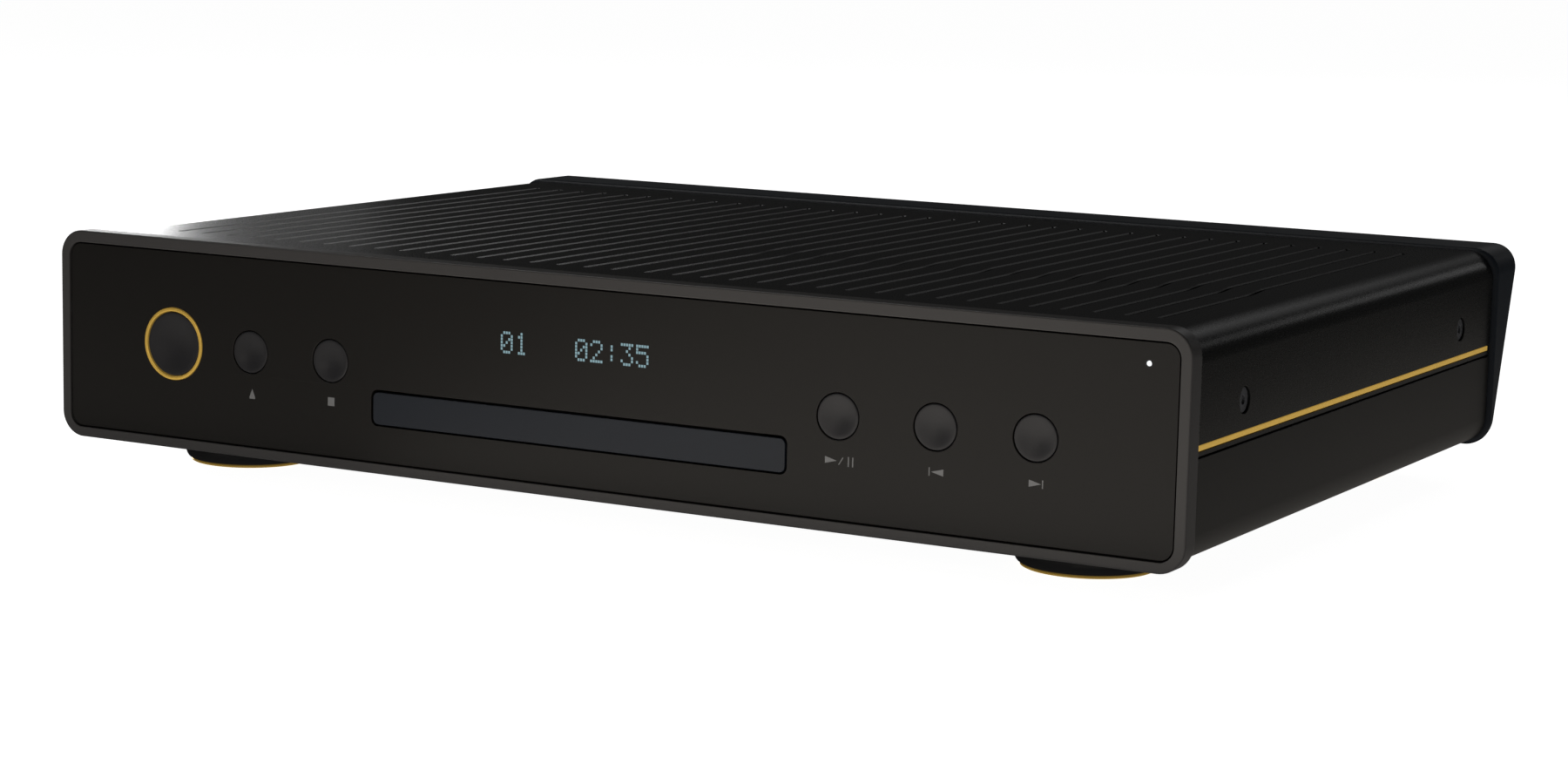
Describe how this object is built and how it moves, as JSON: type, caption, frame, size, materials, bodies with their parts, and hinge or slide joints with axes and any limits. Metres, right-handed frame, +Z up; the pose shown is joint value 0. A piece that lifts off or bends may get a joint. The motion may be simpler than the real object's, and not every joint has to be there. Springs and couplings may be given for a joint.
{
  "type": "cd player",
  "caption": "Slim rounded hi-fi CD player with a motorised disc drawer, dished push buttons, dot-matrix display, slotted cover, gold side strips and round feet.",
  "frame": {"origin": "on the resting plane, under the middle of the overall box", "axes": "+X to the right seen from the front, +Y from the front to the back, +Z up"},
  "size_m": [0.431, 0.316, 0.0834],
  "materials": {
    "body_paint": "satin powder coat, dark warm grey",
    "fascia": "fine bead-blasted dark grey anodised",
    "bezel": "satin dark grey anodised",
    "rear_plastic": "fine matte texture, blue-black",
    "gold": "satin gold, clear lacquered",
    "button": "spun, dished, satin anodised",
    "door": "satin anodised, slightly blue",
    "black_plastic": "moulded black",
    "white_plastic": "natural acetal",
    "rubber": "matte",
    "zinc": "zinc plated",
    "steel": "ground and polished",
    "board": "green solder mask",
    "display": "smoked display glass and carrier",
    "light_pipe": "clear acrylic",
    "winding": "varnished winding tape",
    "lens": "coated optical plastic"
  },
  "bodies": {
    "case": {"front_bezel": "bezel", "fascia_plate": "fascia", "top_cover": "body_paint", "chassis": "body_paint", "accent_strip_left": "gold", "accent_strip_right": "gold", "rear_bezel": "rear_plastic", "rear_panel": "body_paint", "cover_screw_left_front": "zinc", "cover_screw_left_rear": "zinc", "cover_screw_right_front": "zinc", "cover_screw_right_rear": "zinc", "foot_front_left": "black_plastic", "foot_ring_front_left": "gold", "foot_pad_front_left": "rubber", "foot_front_right": "black_plastic", "foot_ring_front_right": "gold", "foot_pad_front_right": "rubber", "foot_rear_left": "black_plastic", "foot_ring_rear_left": "gold", "foot_pad_rear_left": "rubber", "foot_rear_right": "black_plastic", "foot_ring_rear_right": "gold", "foot_pad_rear_right": "rubber", "power_ring": "gold", "front_board": "board", "led_light_pipe": "light_pipe", "display_module": "display", "loader_frame": "black_plastic", "drive_belt": "rubber", "loading_motor": "zinc", "clamp_bridge": "zinc", "power_board": "board", "main_board": "board", "transformer": "winding", "transformer_clamp": "zinc", "mains_inlet": "black_plastic", "analogue_sockets": "black_plastic", "coaxial_socket": "black_plastic", "optical_socket": "black_plastic"},
    "tray": {"tray_door": "door", "disc_tray": "black_plastic"},
    "traverse": {"traverse_plate": "zinc", "spindle_motor": "zinc", "guide_rod_left": "steel", "guide_rod_right": "steel", "feed_motor": "zinc"},
    "spindle": {"turntable": "black_plastic"},
    "sled": {"optical_sled": "black_plastic"},
    "lens": {"objective_lens": "lens"},
    "screw": {"feed_screw": "steel"},
    "clamp": {"clamp_puck": "black_plastic"},
    "gear": {"loading_gear": "white_plastic"},
    "pulley": {"motor_pulley": "white_plastic"},
    "power_button": {"power_button": "button"},
    "eject_button": {"eject_button": "button"},
    "stop_button": {"stop_button": "button"},
    "play_pause_button": {"play_pause_button": "button"},
    "previous_button": {"previous_button": "button"},
    "next_button": {"next_button": "button"}
  },
  "joints": [
    {"name": "tray_slide", "type": "slide", "parent": "case", "child": "tray", "axis": [0, -1, 0], "range_m": [0, 0.145]},
    {"name": "traverse_tilt", "type": "hinge", "parent": "case", "child": "traverse", "pos_m": [0, 0.024, 0.02425], "axis": [1, 0, 0], "range_deg": [0, 3.2]},
    {"name": "turntable_spin", "type": "hinge", "parent": "traverse", "child": "spindle", "pos_m": [0, -0.074, 0.031], "axis": [0, 0, 1], "continuous": true},
    {"name": "sled_slide", "type": "slide", "parent": "traverse", "child": "sled", "axis": [0, 1, 0], "range_m": [0, 0.034]},
    {"name": "lens_focus", "type": "slide", "parent": "sled", "child": "lens", "axis": [0, 0, 1], "range_m": [-0.0005, 0.0005], "stiffness_N_per_m": 60},
    {"name": "feed_screw_spin", "type": "hinge", "parent": "traverse", "child": "screw", "pos_m": [0.034, -0.028, 0.021], "axis": [0, 1, 0], "range_deg": [0, 4081]},
    {"name": "clamp_spin", "type": "hinge", "parent": "case", "child": "clamp", "pos_m": [0, -0.074, 0.04], "axis": [0, 0, 1], "continuous": true},
    {"name": "loading_gear_spin", "type": "hinge", "parent": "case", "child": "gear", "pos_m": [-0.05, -0.122, 0.026], "axis": [0, 0, 1], "range_deg": [0, 924]},
    {"name": "motor_pulley_spin", "type": "hinge", "parent": "case", "child": "pulley", "pos_m": [-0.018, -0.122, 0.024], "axis": [0, 0, 1], "range_deg": [0, 4001]},
    {"name": "power_press", "type": "slide", "parent": "case", "child": "power_button", "axis": [0, 1, 0], "range_m": [0, 0.001], "stiffness_N_per_m": 900},
    {"name": "eject_press", "type": "slide", "parent": "case", "child": "eject_button", "axis": [0, 1, 0], "range_m": [0, 0.001], "stiffness_N_per_m": 900},
    {"name": "stop_press", "type": "slide", "parent": "case", "child": "stop_button", "axis": [0, 1, 0], "range_m": [0, 0.001], "stiffness_N_per_m": 900},
    {"name": "play_pause_press", "type": "slide", "parent": "case", "child": "play_pause_button", "axis": [0, 1, 0], "range_m": [0, 0.001], "stiffness_N_per_m": 900},
    {"name": "previous_press", "type": "slide", "parent": "case", "child": "previous_button", "axis": [0, 1, 0], "range_m": [0, 0.001], "stiffness_N_per_m": 900},
    {"name": "next_press", "type": "slide", "parent": "case", "child": "next_button", "axis": [0, 1, 0], "range_m": [0, 0.001], "stiffness_N_per_m": 900}
  ],
  "couplings": [
    {"joint": "traverse_tilt", "follows": "tray_slide", "rad_per_m": 0.385},
    {"joint": "loading_gear_spin", "follows": "tray_slide", "rad_per_m": 111.11},
    {"joint": "motor_pulley_spin", "follows": "tray_slide", "rad_per_m": 481.48},
    {"joint": "clamp_spin", "follows": "turntable_spin", "ratio": 1},
    {"joint": "feed_screw_spin", "follows": "sled_slide", "rad_per_m": 2094.4}
  ]
}
